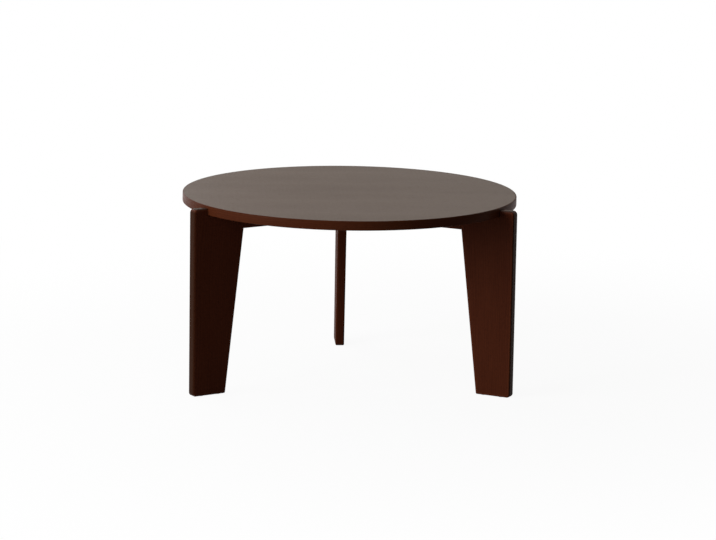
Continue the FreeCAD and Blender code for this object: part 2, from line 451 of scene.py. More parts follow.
        aside = across + self.pith[0] + along * self.slope + spread(self.DRIFT) * self.DRIFT_REACH
        deep = through + self.pith[1] + spread(self.RIPPLE) * self.RIPPLE_REACH
        radius = (aside * aside + deep * deep) ** 0.5
        wander = tree.noise(tree.vector(radius * self.WANDER_FINENESS, 0.0, 0.0), 0.0)
        phase = tree.maths("FRACT", (radius + wander * self.WANDER_REACH) / self.ring_spacing)
        rings = tree.out(tree.add("ValToRGB", {"stops": self.RING_STOPS}, {"Fac": phase}))
        pores = tree.smooth(spread(self.CELLS), *self.PORE_LIMITS) * (1.0 - rings * self.PORE_SHUTTING)
        blotches = spread(self.BLOTCHES) + leaf_tone * self.LEAF_CONTRAST
        return rings, spread(self.FIBRES), pores, blotches

    def _surface(self, tree: ShaderTree) -> Feeds:
        """Figure, stain and lacquer of the board.

        Args:
            tree: The material's tree.

        Returns:
            The inputs of the wood's shader, by name.
        """
        axes = self._board_axes(tree)
        rings, fibres, pores, blotches = self._figure(tree, axes)
        depth = (
            0.5
            + (rings - self.RING_MIDDLE) * self.ring_depth
            + (fibres - 0.5) * self.fibre_depth
            + (blotches - 0.5) * self.blotch_depth
        )
        stain = tree.blend(depth, self.pale, self.deep)
        if self.rubbed:
            worn = tree.out(tree.add("Attribute", {"attribute_name": WEAR}), "Fac")
            wear = worn * (self.LEAST_WEAR + self.FIBRE_WEAR * fibres)
            stain = tree.blend(wear, stain, toned(self.pale, 1.0 + self.rubbed))
        coat: Feed = 0.0
        if self.edge_places:
            places = zip(axes, self.edge_places)
            end, side = (tree.smooth(axis, place - self.edge_depth, place) for axis, place in places)
            # The board's end and its outer edge get a darker colour: the end as end grain that takes more
            # stain, the edge only darker.
            stain = tree.blend(end | side, stain, self.edge_stain)
            end_place = self.edge_places[0]
            coat = tree.smooth(axes[0], end_place - self.coat_depth, end_place) * self.end_coat
        unevenness = (
            pores * self.PORE_ROUGHNESS
            + (fibres - 0.5) * self.FIBRE_ROUGHNESS
            + (blotches - 0.5) * self.BLOTCH_ROUGHNESS
        )
        return {
            "Base Color": tree.blend(pores * self.pore_share, stain, self.pore),
            "Roughness": unevenness + self.roughness,
            "Specular IOR Level": self.gloss,
            "Coat Weight": coat,
            "Coat Roughness": self.roughness,
            "Normal": tree.bump(fibres * self.FIBRE_RELIEF - pores, self.RELIEF_DEPTH),
        }


@dataclass(frozen=True)
class Felt(Finish):
    """Dense pressed felt.

    Attributes:
        colour: Mean colour of the felt.
        pale_share: Brightness of its palest hairs beside the mean.
        hollow_shade_share: Brightness of its hollows beside the mean, painted shade where the relief is
            low.
    """

    colour: Colour
    pale_share: float = 2.1
    hollow_shade_share: float = 0.55

    # What single hairs and matted patches add to the colour and to the relief.
    HAIR_COLOUR = 0.6
    PATCH_COLOUR = 0.4
    HAIR_RELIEF = 0.7
    PATCH_RELIEF = 0.5

    def _surface(self, tree: ShaderTree) -> Feeds:
        """Pale hairs over dark hollows: the colour follows nearly the same noise as the relief, so the
        hollows carry painted shade.

        Args:
            tree: The material's tree.

        Returns:
            The inputs of the felt's shader, by name.
        """
        fleck = tree.cloud(fineness=4200.0, layers=3.0, strength=0.7)
        matted = tree.cloud(fineness=900.0, layers=2.0)
        pale, deep = toned(self.colour, self.pale_share), toned(self.colour, self.hollow_shade_share)
        # This mask follows nearly the same noise as the relief, so its dark end is painted shade in the
        # hollows; the fleck itself is the felt's own.
        hairs = tree.smooth(fleck * self.HAIR_COLOUR + matted * self.PATCH_COLOUR, low=0.3, high=0.7)
        return {
            "Base Color": tree.blend(hairs, deep, pale),
            "Roughness": 0.95,
            "Specular IOR Level": 0.15,
            "Sheen Weight": 0.25,
            "Sheen Roughness": 0.6,
            "Normal": tree.bump(fleck * self.HAIR_RELIEF + matted * self.PATCH_RELIEF, depth=0.0002),
        }


@dataclass(frozen=True)
class PlatedSteel(Finish):
    """Turned steel with a thin plating, dulled by handling.

    Attributes:
        bright: Colour of the clean plating.
        dull: Colour where it has dulled.
        roughness: Mean roughness.
        scratches: Fineness of the scratches along each axis.
    """

    bright: Colour
    dull: Colour
    roughness: float = 0.33
    scratches: Sequence[float] = (2600.0, 2600.0, 9000.0)

    # What dull patches and scratches add to the roughness.
    PATCH_ROUGHNESS = 0.3
    SCRATCH_ROUGHNESS = 0.12

    def _surface(self, tree: ShaderTree) -> Feeds:
        """Bright plating with dull patches and fine scratches.

        Args:
            tree: The material's tree.

        Returns:
            The inputs of the steel's shader, by name.
        """
        cloud = tree.cloud(fineness=260.0, layers=3.0, strength=0.6)
        fine = tree.add("VectorMath", {"operation": "MULTIPLY"}, {0: tree.place(), 1: self.scratches})
        scratch = tree.noise(fine.outputs[0], layers=2.0)
        return {
            "Base Color": tree.blend(tree.smooth(cloud, low=0.4, high=0.68), self.bright, self.dull),
            "Metallic": 1.0,
            "Roughness": self.roughness
            + (cloud - 0.5) * self.PATCH_ROUGHNESS
            + (scratch - 0.5) * self.SCRATCH_ROUGHNESS,
            "Normal": tree.bump(scratch, depth=0.00001),
        }


@dataclass(frozen=True)
class PowderCoat(Finish):
    """Baked powder paint with a fine orange peel.

    Attributes:
        colour: Colour of the paint.
        dust: Colour of the dust on it.
    """

    colour: Colour
    dust: Colour

    # Mean roughness, and what the dust adds to it.
    ROUGHNESS = 0.46
    DUST_ROUGHNESS = 0.25

    def _surface(self, tree: ShaderTree) -> Feeds:
        """Orange peel with a little dust.

        Args:
            tree: The material's tree.

        Returns:
            The inputs of the paint's shader, by name.
        """
        peel = tree.cloud(fineness=1900.0, layers=1.0)
        cloud = tree.cloud(fineness=70.0, layers=3.0, strength=0.6)
        return {
            "Base Color": tree.blend(tree.smooth(cloud, low=0.45, high=0.75), self.colour, self.dust),
            "Roughness": self.ROUGHNESS + (cloud - 0.5) * self.DUST_ROUGHNESS,
            "Specular IOR Level": 0.35,
            "Normal": tree.bump(peel, depth=0.00006),
        }


@dataclass(frozen=True)
class MouldedNylon(Finish):
    """Moulded nylon with a faint flow pattern.

    Attributes:
        colour: Colour of the nylon.
        scuff: Colour where it has rubbed.
    """

    colour: Colour
    scuff: Colour

    # Mean roughness, and what the rubbing adds to it.
    ROUGHNESS = 0.5
    SCUFF_ROUGHNESS = 0.3

    def _surface(self, tree: ShaderTree) -> Feeds:
        """Fine pitting and rubbed patches.

        Args:
            tree: The material's tree.

        Returns:
            The inputs of the nylon's shader, by name.
        """
        cloud = tree.cloud(fineness=330.0, layers=3.0, strength=0.65)
        pitting = tree.cloud(fineness=1400.0, layers=2.0)
        return {
            "Base Color": tree.blend(tree.smooth(cloud, low=0.5, high=0.72), self.colour, self.scuff),
            "Roughness": self.ROUGHNESS + (cloud - 0.5) * self.SCUFF_ROUGHNESS,
            "Specular IOR Level": 0.3,
            "Normal": tree.bump(pitting, depth=0.00003),
        }


@dataclass(frozen=True)
class TableSizes:
    """Sizes and places that several pieces share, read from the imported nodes.

    Attributes:
        hub: Foot of the hub's axis on the floor.
        top_radius: Radius of the top.
        core_radius: Radius of the top inside its lipping.
        top_height: Height of the table.
        underside_height: Height of the top's lower face.
    """

    hub: Vector
    top_radius: float
    core_radius: float
    top_height: float
    underside_height: float

    @classmethod
    def read(cls) -> "TableSizes":
        """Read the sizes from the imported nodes.

        Returns:
            The sizes.
        """
        across, along, _ = frame["joints"][0]["pos_m"]
        rim_low, rim_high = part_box("top_edge_band")
        return cls(
            hub=Vector((across, along, 0.0)),
            top_radius=rim_high.x - across,
            core_radius=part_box("top_board")[1].x - across,
            top_height=rim_high.z,
            underside_height=rim_low.z,
        )


class Arm(Enum):
    """The three arms of the base, by their direction in the plan."""

    BACK = 90.0
    LEFT = 210.0
    RIGHT = 330.0

    @property
    def title(self) -> str:
        """The arm's word in the names of its nodes."""
        return self.name.lower()

    @property
    def body(self) -> str:
        """The body that the arm's pieces ride on."""
        return f"{self.title}_frame"

    def placing(self, sizes: TableSizes) -> Matrix:
        """The arm's own frame, whose X axis runs out from the hub."""
        return Matrix.Translation(sizes.hub) @ Matrix.Rotation(math.radians(self.value), 4, "Z")


def as_mesh(name: str, shape: Shape) -> bpy.types.Mesh:
    """Turn a shape into a mesh.

    Args:
        name: Name of the mesh.
        shape: The shape. It is freed here.

    Returns:
        The mesh.
    """
    mesh = bpy.data.meshes.new(name)
    shape.to_mesh(mesh)
    shape.free()
    return mesh


def placed(name: str, data: bpy.types.ID) -> bpy.types.Object:
    """Put a mesh, a lamp or a camera into the scene.

    Args:
        name: Name of the object.
        data: What it shows.

    Returns:
        The object.
    """
    made = bpy.data.objects.new(name, data)
    bpy.context.scene.collection.objects.link(made)
    return made


def dress(node_name: str, finish: Finish) -> None:
    """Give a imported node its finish.

    Args:
        node_name: Name of the node.
        finish: The finish.
    """
    materials = frame["nodes"][node_name].data.materials
    materials.clear()
    materials.append(finish.material())
    log.info("%s is finished with %s", node_name, finish.name)


def stand_in(
    name: str, shape: Shape, finish: Finish, body: str, node_name: str
) -> bpy.types.Object:
    """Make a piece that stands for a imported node.

    Args:
        name: Name of the piece.
        shape: Its mesh, in the table's frame. It is freed here.
        finish: Its finish.
        body: The body that it rides on.
        node_name: The node that it stands for.

    Returns:
        The piece.
    """
    sharp_angle = math.radians(32.0)
    bmesh.ops.recalc_face_normals(shape, faces=shape.faces)
    mesh = as_mesh(name, shape)
    mesh.shade_smooth()
    mesh.set_sharp_from_angle(angle=sharp_angle)
    mesh.materials.append(finish.material())
    piece = placed(name, mesh)
    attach(piece, body)
    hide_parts(node_name)
    log.info("%s: %d faces, stands for %s", name, len(mesh.polygons), node_name)
    return piece


def packed_points(node_name: str, placing: Matrix) -> list[Vector]:
    """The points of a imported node, in the frame of its arm."""
    back = placing.inverted()
    return [back @ vert.co for vert in frame["nodes"][node_name].data.vertices]


def corners(points: Sequence[Vector]) -> tuple[Vector, Vector]:
    """The box round some points.

    Args:
        points: The points.

    Returns:
        Its low and its high corner.
    """
    low = Vector([min(point[axis] for point in points) for axis in range(3)])
    high = Vector([max(point[axis] for point in points) for axis in range(3)])
    return low, high


def turned(outline: Sequence[Pair], centre: Vector, steps: int = 48, ring: bool = False) -> Shape:
    """Shape turned about an upright axis.

    Args:
        outline: Its (radius, height) points.
        centre: The foot of the axis.
        steps: Number of steps round the axis.
        ring: Whether the outline closes on itself away from the axis.

    Returns:
        The turned shape.
    """
    shape = bmesh.new()
    points = [shape.verts.new((centre.x + radius, centre.y, height)) for radius, height in outline]
    edges = [shape.edges.new(pair) for pair in zip(points, points[1:])]
    if ring:
        edges.append(shape.edges.new((points[-1], points[0])))
    bmesh.ops.spin(
        shape,
        geom=points + edges,
        cent=centre,
        axis=(0.0, 0.0, 1.0),
        dvec=(0.0, 0.0, 0.0),
        angle=math.tau,
        steps=steps,
        use_merge=True,
        use_duplicate=False,
    )
    bmesh.ops.remove_doubles(shape, verts=shape.verts, dist=TOUCHING)
    return shape


def ease(shape: Shape, edges: list[Edge], width: float, steps: int) -> list[bmesh.types.BMVert]:
    """Round some edges of a shape.

    Args:
        shape: The shape.
        edges: The edges.
        width: Distance from an edge to where its rounding starts.
        steps: Number of steps across the rounding.

    Returns:
        The points of the rounding.
    """
    rounding = bmesh.ops.bevel(
        shape,
        geom=edges,
        offset=width,
        offset_type="OFFSET",
        affect="EDGES",
        segments=steps,
        profile=0.5,
        material=-1,
    )
    return rounding["verts"]


def ease_circles(shape: Shape, centre: Vector, circles: Sequence[Pair], width: float, steps: int) -> None:
    """Round the edges of a turned shape that lie on some circles.

    Args:
        shape: The turned shape.
        centre: The foot of its axis.
        circles: The (radius, height) of each circle.
        width: Distance from an edge to where its rounding starts.
        steps: Number of steps across the rounding.
    """
    found = []
    for radius, height in circles:
        for edge in shape.edges:
            places = [vert.co - centre for vert in edge.verts]
            level = all(abs(place.z - height) < NEAR for place in places)
            if level and all(abs(place.xy.length - radius) < NEAR for place in places):
                found.append(edge)
    ease(shape, found, width, steps)


def mark_wear(shape: Shape, verts: Iterable[bmesh.types.BMVert], amount: float) -> None:
    """Note how much the finish has rubbed off.

    Args:
        shape: The shape.
        verts: The points where it has.
        amount: How much, from 0 to 1.
    """
    layer = shape.verts.layers.float[WEAR]
    for vert in verts:
        vert[layer] = amount


def joined(parts: Iterable[Shape]) -> Shape:
    """Several shapes as one.

    Args:
        parts: The shapes. They are freed here.

    Returns:
        The one shape.
    """
    whole = bmesh.new()
    for part in parts:
        mesh = as_mesh("part", part)
        whole.from_mesh(mesh)
        bpy.data.meshes.remove(mesh)
    return whole


def carve(shape: Shape, cutters: Sequence[Shape]) -> Shape:
    """Cut solids out of a shape.

    Args:
        shape: The shape. It is freed here.
        cutters: The solids. They are freed here.

    Returns:
        The shape with its hollows.
    """
    objects = []
    for number, solid in enumerate((shape, *cutters)):
        bmesh.ops.recalc_face_normals(solid, faces=solid.faces)
        name = f"blank_{number}"
        objects.append(placed(name, as_mesh(name, solid)))
    for cutter in objects[1:]:
        cut = objects[0].modifiers.new(cutter.name, "BOOLEAN")
        cut.operation = "DIFFERENCE"
        cut.solver = "EXACT"
        cut.object = cutter
    bpy.context.view_layer.update()
    carved = bmesh.new()
    carved.from_object(objects[0], bpy.context.evaluated_depsgraph_get())
    bmesh.ops.remove_doubles(carved, verts=carved.verts, dist=2.0 * TOUCHING)
    bmesh.ops.holes_fill(carved, edges=[edge for edge in carved.edges if edge.is_boundary])
    for blank in objects:
        mesh = blank.data
        bpy.data.objects.remove(blank)
        bpy.data.meshes.remove(mesh)
    return carved


def plank(outline: Iterable[Pair], half: float) -> Shape:
    """Board that stands on edge along the X axis.

    Args:
        outline: Its corners as (distance, height), in order.
        half: Half of its thickness.

    Returns:
        The board, with a layer for the wear of its edges.
    """
    shape = bmesh.new()
    shape.verts.layers.float.new(WEAR)
    face = shape.faces.new([shape.verts.new((distance, -half, height)) for distance, height in outline])
    grown = bmesh.ops.extrude_face_region(shape, geom=[face])["geom"]
    lifted = [item for item in grown if isinstance(item, bmesh.types.BMVert)]
    bmesh.ops.translate(shape, vec=(0.0, 2.0 * half, 0.0), verts=lifted)
    bmesh.ops.recalc_face_normals(shape, faces=shape.faces)
    return shape


def block(low: Sequence[float], high: Sequence[float]) -> Shape:
    """Square block between two corners.

    Args:
        low: The low corner.
        high: The high corner.

    Returns:
        The block.
    """
    shape = bmesh.new()
    first, last = Vector(low), Vector(high)
    size = Matrix.Diagonal((last - first).to_4d())
    size[3][3] = 1.0
    bmesh.ops.create_cube(shape, size=1.0, matrix=Matrix.Translation((first + last) / 2) @ size)
    return shape


def rod(radius: float, length: float, sides: int, placing: Matrix) -> Shape:
    """Round or many-sided rod.

    Args:
        radius: Distance of its long edges from its axis.
        length: Its length.
        sides: Number of its sides.
        placing: Frame whose origin is its middle and whose Z axis is its axis.

    Returns:
        The rod.
    """
    shape = bmesh.new()
    bmesh.ops.create_cone(
        shape, cap_ends=True, segments=sides, radius1=radius, radius2=radius, depth=length, matrix=placing
    )
    return shape


def pocket(place: Vector, radius: float, low: float, high: float, steps: int = 64) -> Shape:
    """Upright round cutter through a place, between two heights."""
    outline = [(0.0, low), (radius, low), (radius, high), (0.0, high)]
    return turned(outline, Vector((place.x, place.y, 0.0)), steps)


def softened(node_name: str, width: float, steps: int = 2) -> Shape:
    """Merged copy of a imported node's mesh, with its sharp edges eased.

    Args:
        node_name: Name of the node.
        width: Distance from an edge to where its rounding starts.
        steps: Number of steps across the rounding.

    Returns:
        The copy.
    """
    flat_angle, sharp_angle = math.radians(0.5), math.radians(38.0)
    shape = bmesh.new()
    shape.from_mesh(frame["nodes"][node_name].data)
    bmesh.ops.remove_doubles(shape, verts=shape.verts, dist=TOUCHING)
    bmesh.ops.dissolve_limit(shape, angle_limit=flat_angle, verts=shape.verts, edges=shape.edges)
    sharp = [edge for edge in shape.edges if edge.is_manifold and edge.calc_face_angle() > sharp_angle]
    ease(shape, sharp, width, steps)
    return shape


@dataclass(frozen=True)
class Disc:
    """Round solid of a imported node, in the frame of its arm.

    Attributes:
        centre: Its middle.
        half: Half of its extent along each axis.
    """

    centre: Vector
    half: Vector

    @property
    def low(self) -> float:
        """Height of its lowest point."""
        return self.centre.z - self.half.z

    @property
    def high(self) -> float:
        """Height of its highest point."""
        return self.centre.z + self.half.z

    def foot(self, placing: Matrix) -> Vector:
        """The point of the floor under its middle, in the table's frame."""
        return placing @ Vector((self.centre.x, self.centre.y, 0.0))

    @classmethod
    def read(cls, node_name: str, placing: Matrix, axis: int = 0) -> list["Disc"]:
        """Read the two solids of a node.

        Args:
            node_name: Name of the node.
            placing: The arm's frame.
            axis: The axis along which the two solids stand apart.

        Returns:
            The two solids, the lower place on that axis first.
        """
        points = sorted(packed_points(node_name, placing), key=lambda point: point[axis])
        gaps = [after[axis] - before[axis] for before, after in zip(points, points[1:])]
        split = gaps.index(max(gaps)) + 1
        boxes = [corners(points[:split]), corners(points[split:])]
        return [cls((low + high) / 2, (high - low) / 2) for low, high in boxes]


@dataclass
class Tabletop:
    """The loose round top: a veneered core and the lipping round it.

    Attributes:
        sizes: The table's shared sizes.
        steps: Number of steps round the rim.
        lipping_ease: Rounding of the lipping's outer edges.
        joint_ease: Rounding of both sides of the joint between core and lipping.
    """

    sizes: TableSizes
    steps: int = 256
    lipping_ease: float = 0.0015
    joint_ease: float = 0.00015

    def panel(self) -> Shape:
        """The veneered core.

        Returns:
            The core's mesh.
        """
        low, high, rim = self.sizes.underside_height, self.sizes.top_height, self.sizes.core_radius
        outline = [(0.0, high), (rim / 2, high), (rim, high), (rim, low), (rim / 2, low), (0.0, low)]
        shape = turned(outline, self.sizes.hub, self.steps)
        ease_circles(shape, self.sizes.hub, [(rim, high), (rim, low)], self.joint_ease, steps=1)
        return shape

    def lipping(self) -> Shape:
        """The solid lipping.

        Returns:
            The lipping's mesh.
        """
        low, high = self.sizes.underside_height, self.sizes.top_height
        inner, outer = self.sizes.core_radius, self.sizes.top_radius
        outline = [(inner, high), (outer, high), (outer, low), (inner, low)]
        shape = turned(outline, self.sizes.hub, self.steps, ring=True)
        ease_circles(shape, self.sizes.hub, [(outer, high), (outer, low)], self.lipping_ease, steps=5)
        ease_circles(shape, self.sizes.hub, [(inner, high), (inner, low)], self.joint_ease, steps=1)
        return shape

    def build(self) -> None:
        """Make both pieces of the top."""
        centre = Matrix.Translation(self.sizes.hub)
        veneer = StainedWood(
            name="veneer",
            pale=(0.069, 0.0282, 0.0108),
            deep=(0.0418, 0.0164, 0.0062),
            pore=(0.0232, 0.0093, 0.0041),
            grain=Grain.SIDEWAYS,
            placing=centre,
            pith=(0.42, 0.3),
            slope=0.008,
            ring_spacing=0.0052,
            ring_depth=0.75,
            fibre_depth=1.0,
            roughness=0.46,
            gloss=0.153,
            leaf_width=0.155,
        )
        lipping = StainedWood(
            name="lipping_wood",
            pale=(0.084, 0.0225, 0.0086),
            deep=(0.0445, 0.0101, 0.0038),
            pore=(0.022, 0.006, 0.0029),
            grain=Grain.ROUND_THE_RIM,
            placing=centre,
            pith=(0.09, 0.05),
            slope=0.004,
            roughness=0.4,
            gloss=0.018,
        )
        body = "table_top"
        stand_in("tabletop_panel", self.panel(), veneer, body, "top_board")
        stand_in("tabletop_lipping", self.lipping(), lipping, body, "top_edge_band")


@dataclass
class LegFrame:
    """One leg with its rail, dowels, pads and glides.

    Attributes:
        sizes: The table's shared sizes.
        arm: The arm that the frame stands on.
        tone: How bright the wood of this arm is beside the mean. The back arm's much lower tone is painted
            shade on its whole leg and rail; the small difference between the other two arms is the wood's
            own.
        leg_pith: Place of the pith in the leg's board.
        rail_pith: Place of the pith in the rail's board.
        gloss: Specular level of the lacquer.
        rubbed: How much paler the eased edges are.
        pale: Mean colour of the wood where it takes least stain.
        deep: Mean colour where it takes most.
        horn_rounding: Radius of the horn's outer corner.
        foot_rounding: Radius of the foot's outer corner.
        edge_rounding: Radius of the leg's long edges.
        rail_rounding: Radius of the rail's long edges.
        recess_start: Share of the bore's radius past which a rail's points belong to its recess.
        recess_limit: Radius about the hub inside which they do.
        supporting_inset: Width of the strip beside the eased edges.
        least_inset_area: Area from which a face gets such a strip.
        dowel_end_room: Room past the end of a dowel.
        nail_head: Radius of a nail's head.
        nail_shank: Radius of its shank, as a share of the head's.
        nail_sink: Height of the lowest part of a nail's head.
        nail_head_height: Thickness of a nail's head.
        nail_bevel: Width and height of the bevel round the head.
        nail_neck: Fillet between head and shank, as a share of the shank's radius.
        nail_point: Length of a nail's point, as a share of the same.
        nail_room: Room round a nail's head.
        felt_rounding: Rounding of a pad's upper edge.
    """

    sizes: TableSizes
    arm: Arm
    tone: float
    leg_pith: Pair
    rail_pith: Pair
    gloss: float = 0.018
    rubbed: float = 0.22
    pale: Colour = (0.101, 0.0247, 0.01)
    deep: Colour = (0.052, 0.011, 0.0048)
    horn_rounding: float = 0.0075
    foot_rounding: float = 0.006
    edge_rounding: float = 0.0024
    rail_rounding: float = 0.0012
    recess_start: float = 1.1
    recess_limit: float = 0.008
    supporting_inset: float = 0.0025
    least_inset_area: float = 0.0006
    dowel_end_room: float = 0.001
    nail_head: float = 0.003
    nail_shank: float = 0.4
    nail_sink: float = 0.0004
    nail_head_height: float = 0.0008
    nail_bevel: Pair = (0.0003, 0.00016)
    nail_neck: float = 0.4
    nail_point: float = 2.0
    nail_room: float = 0.0003
    felt_rounding: float = 0.0006

    def __post_init__(self) -> None:
        """Work out where the arm is."""
        self.title = self.arm.title
        self.placing = self.arm.placing(self.sizes)
        self.pads = Disc.read(f"{self.title}_top_pads", self.placing)
        self.glides = Disc.read(f"{self.title}_foot_glides", self.placing)
        self.nails = Disc.read(f"{self.title}_glide_nails", self.placing)
        self.dowels = Disc.read(f"{self.title}_rail_dowels", self.placing, axis=2)
        self.leg_points = packed_points(f"{self.title}_leg", self.placing)
        self.rail_points = packed_points(f"{self.title}_rail", self.placing)

    def _wood(self, part: str, grain: Grain, pith: Pair, edge_places: tuple[float, ...] = ()) -> Finish:
        """Wood of the leg or of the rail.

        Args:
            part: The board's word in the name of its material.
            grain: How the grain lies in the board.
            pith: Place of the pith.
            edge_places: Where the board's dark end and dark edge are, or nothing.

        Returns:
            The finish.
        """
        return StainedWood(
            name=f"{self.title}_{part}_wood",
            pale=toned(self.pale, self.tone),
            deep=toned(self.deep, self.tone),
            pore=(0.0235, 0.0058, 0.0035),
            grain=grain,
            placing=self.placing,
            pith=pith,
            ring_depth=0.62,
            fibre_depth=0.85,
            gloss=self.gloss,
            rubbed=self.rubbed,
            edge_places=edge_places,
        )

    def _corners(self) -> dict[str, Pair]:
        """The leg's corners by name, in order round the leg.

        Returns:
            Each corner's distance from the hub and its height.
        """
        points = self.leg_points
        low, high = corners(points)
        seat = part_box(f"{self.title}_rail")[1].z
        notch = min(point.x for point in points if point.z > seat + NEAR)
        return {
            "toe": (min(point.x for point in points if point.z - low.z < NEAR), low.z),
            "seat": (min(point.x for point in points if abs(point.z - seat) < NEAR), seat),
            "notch": (notch, seat),
            "wall": (notch, high.z),
            "horn": (high.x, high.z),
            "foot": (high.x, low.z),
        }

    def _leg_hollows(self) -> list[Shape]:
        """Hollows of the leg.

        Returns:
            Cutters for its dowel holes, pad pocket, glide pockets and nail holes.
        """
        cutters = [self._pad_pocket(self.pads[1])]
        for glide, nail in zip(self.glides, self.nails):
            cutters.append(pocket(glide.centre, glide.half.x, -glide.high, glide.high))
            cutters.append(pocket(glide.centre, self.nail_head * self.nail_shank, glide.low, nail.high))
        return cutters + self._dowel_holes()

    def _rail_hollows(self) -> list[Shape]:
        """Hollows of the rail.

        Returns:
            Cutters for its dowel holes, pad pocket and bore, and for the heads and screws in it.
        """
        low, high = corners(self.rail_points)
        bore = min(point.xy.length for point in self.rail_points)
        over = high.z + bore
        cutters = [self._pad_pocket(self.pads[0]), pocket(Vector(), bore, low.z - bore, over)]
        start = self.recess_start * bore
        recess = [point for point in self.rail_points if start < point.xy.length < self.recess_limit]
        if recess:
            floor = min(point.z for point in recess)
            cutters.append(pocket(Vector(), max(point.xy.length for point in recess), floor, over))
        if self.arm is Arm.BACK:
            # The screws' shanks are half as wide as their heads.
            for screw in Disc.read("plate_screws", self.placing):
                cutters.append(pocket(screw.centre, screw.half.x / 2, screw.low, screw.high))
        return cutters + self._dowel_holes()

    def _pad_pocket(self, pad: Disc) -> Shape:
        """Cutter for a pad's pocket."""
        return pocket(pad.centre, pad.half.x, pad.low, self.sizes.top_height)

    def _dowel_holes(self) -> list[Shape]:
        """Dowel holes of the leg or of the rail.

        Returns:
            The cutters.
        """
        lying = Matrix.Rotation(math.pi / 2, 4, "Y")
        return [
            rod(
                radius=dowel.half.z,
                length=2.0 * (dowel.half.x + self.dowel_end_room),
                sides=48,
                placing=Matrix.Translation(dowel.centre) @ lying,
            )
            for dowel in self.dowels
        ]

    def _worked(
        self,
        shape: Shape,
        edges: list[Edge],
        width: float,
        steps: int,
        level_too: bool,
        cutters: list[Shape],
    ) -> Shape:
        """Ease a board's edges, cut its hollows and set it on its arm.

        Args:
            shape: The board. It is freed here.
            edges: The edges that are eased.
            width: Width of their rounding.
            steps: Number of steps across the rounding.
            level_too: Whether its level faces get a strip beside their edges too.
            cutters: The hollows. They are freed here.

        Returns:
            The finished board.
        """
        mark_wear(shape, ease(shape, edges, width, steps), 1.0)
        faces = [face for face in shape.faces if level_too or abs(face.normal.z) < LEVEL]
        wide = [face for face in faces if face.calc_area() > self.least_inset_area]
        bmesh.ops.inset_individual(shape, faces=wide, thickness=self.supporting_inset, use_even_offset=True)
        mark_wear(shape, {vert for face in wide for vert in face.verts}, 0.0)
        shape = carve(shape, cutters)
        bmesh.ops.transform(shape, matrix=self.placing, verts=shape.verts)
        return shape

    def leg(self) -> Shape:
        """The tapered plank with its horn.

        Returns:
            The leg's mesh.
        """
        places = self._corners()
        half = corners(self.leg_points)[1].y
        shape = plank(places.values(), half)
        for name, rounding in (("horn", self.horn_rounding), ("foot", self.foot_rounding)):
            ease(shape, self._through(shape, places[name]), rounding, steps=10)
        seat_line = {places["seat"], places["notch"], places["wall"]}
        shown = [
            edge for edge in shape.edges
            if abs(abs(self._middle(edge).y) - half) < TOUCHING and not self._lies_on(edge, seat_line)
        ]
        shown += self._through(shape, places["toe"])
        cutters = self._leg_hollows()
        return self._worked(shape, shown, self.edge_rounding, steps=5, level_too=False, cutters=cutters)

    def rail(self) -> Shape:
        """The rail, with its third of the lap and its eye at the hub.

        Returns:
            The rail's mesh.
        """
        points = self.rail_points
        low, high = corners(points)
        half = high.y
        toe = max(point.x for point in points if point.z - low.z < NEAR)
        heel = max(point.x for point in points if high.z - point.z < NEAR)
        lap_low, lap_high = (corner.z for corner in corners([point for point in points if point.x < 0.0]))
        shoulder = min(point.x for point in points if not lap_low - NEAR < point.z < lap_high + NEAR)
        shape = plank([(-half, low.z), (toe, low.z), (heel, high.z), (-half, high.z)], half)
        eye = [edge for edge in shape.edges if self._is_upright(edge) and edge.verts[0].co.x < 0.0]
        ease(shape, eye, half, steps=12)
        bmesh.ops.remove_doubles(shape, verts=shape.verts, dist=NEAR)
        level = [edge for edge in shape.edges if abs(edge.verts[0].co.z - edge.verts[1].co.z) < NEAR]
        rims = [edge for edge in level if self._middle(edge).x < heel - NEAR / 2]
        # A lap that is flush with the rail on one side leaves no gap there.
        gaps = [
            block((-2.0 * half, -2.0 * half, bottom), (shoulder, 2.0 * half, top))
            for bottom, top in ((low.z - half, lap_low), (lap_high, high.z + half))
            if top - bottom > half + NEAR
        ]
        cutters = gaps + self._rail_hollows()
        return self._worked(shape, rims, self.rail_rounding, steps=4, level_too=True, cutters=cutters)

    @staticmethod
    def _middle(edge: Edge) -> Vector:
        """The middle of an edge."""
        return (edge.verts[0].co + edge.verts[1].co) / 2

    @staticmethod
    def _is_upright(edge: Edge) -> bool:
        """Whether an edge stands upright."""
        return (edge.verts[0].co - edge.verts[1].co).xy.length < TOUCHING

    @staticmethod
    def _lies_on(edge: Edge, line: Iterable[Pair]) -> bool:
        """Whether an edge lies on a line.

        Args:
            edge: The edge.
            line: The line's corners, as (distance, height).

        Returns:
            Whether both of its ends are corners of the line.
        """
        ends = [(vert.co.x, vert.co.z) for vert in edge.verts]
        return all(any(math.dist(end, corner) < TOUCHING for corner in line) for end in ends)

    def _through(self, shape: Shape, corner: Pair) -> list[Edge]:
        """The edge that runs through the board at one of its corners."""
        return [edge for edge in shape.edges if self._lies_on(edge, [corner])]

    def _pad(self, pad: Disc) -> Shape:
        """One felt pad.

        Args:
            pad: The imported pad.

        Returns:
            Its shape.
        """
        centre, rim = pad.foot(self.placing), pad.half.x
        outline = [(0.0, pad.low), (rim, pad.low), (rim, pad.high), (rim / 2, pad.high), (0.0, pad.high)]
        shape = turned(outline, centre)
        ease_circles(shape, centre, [(rim, pad.high)], self.felt_rounding, steps=4)
        return shape

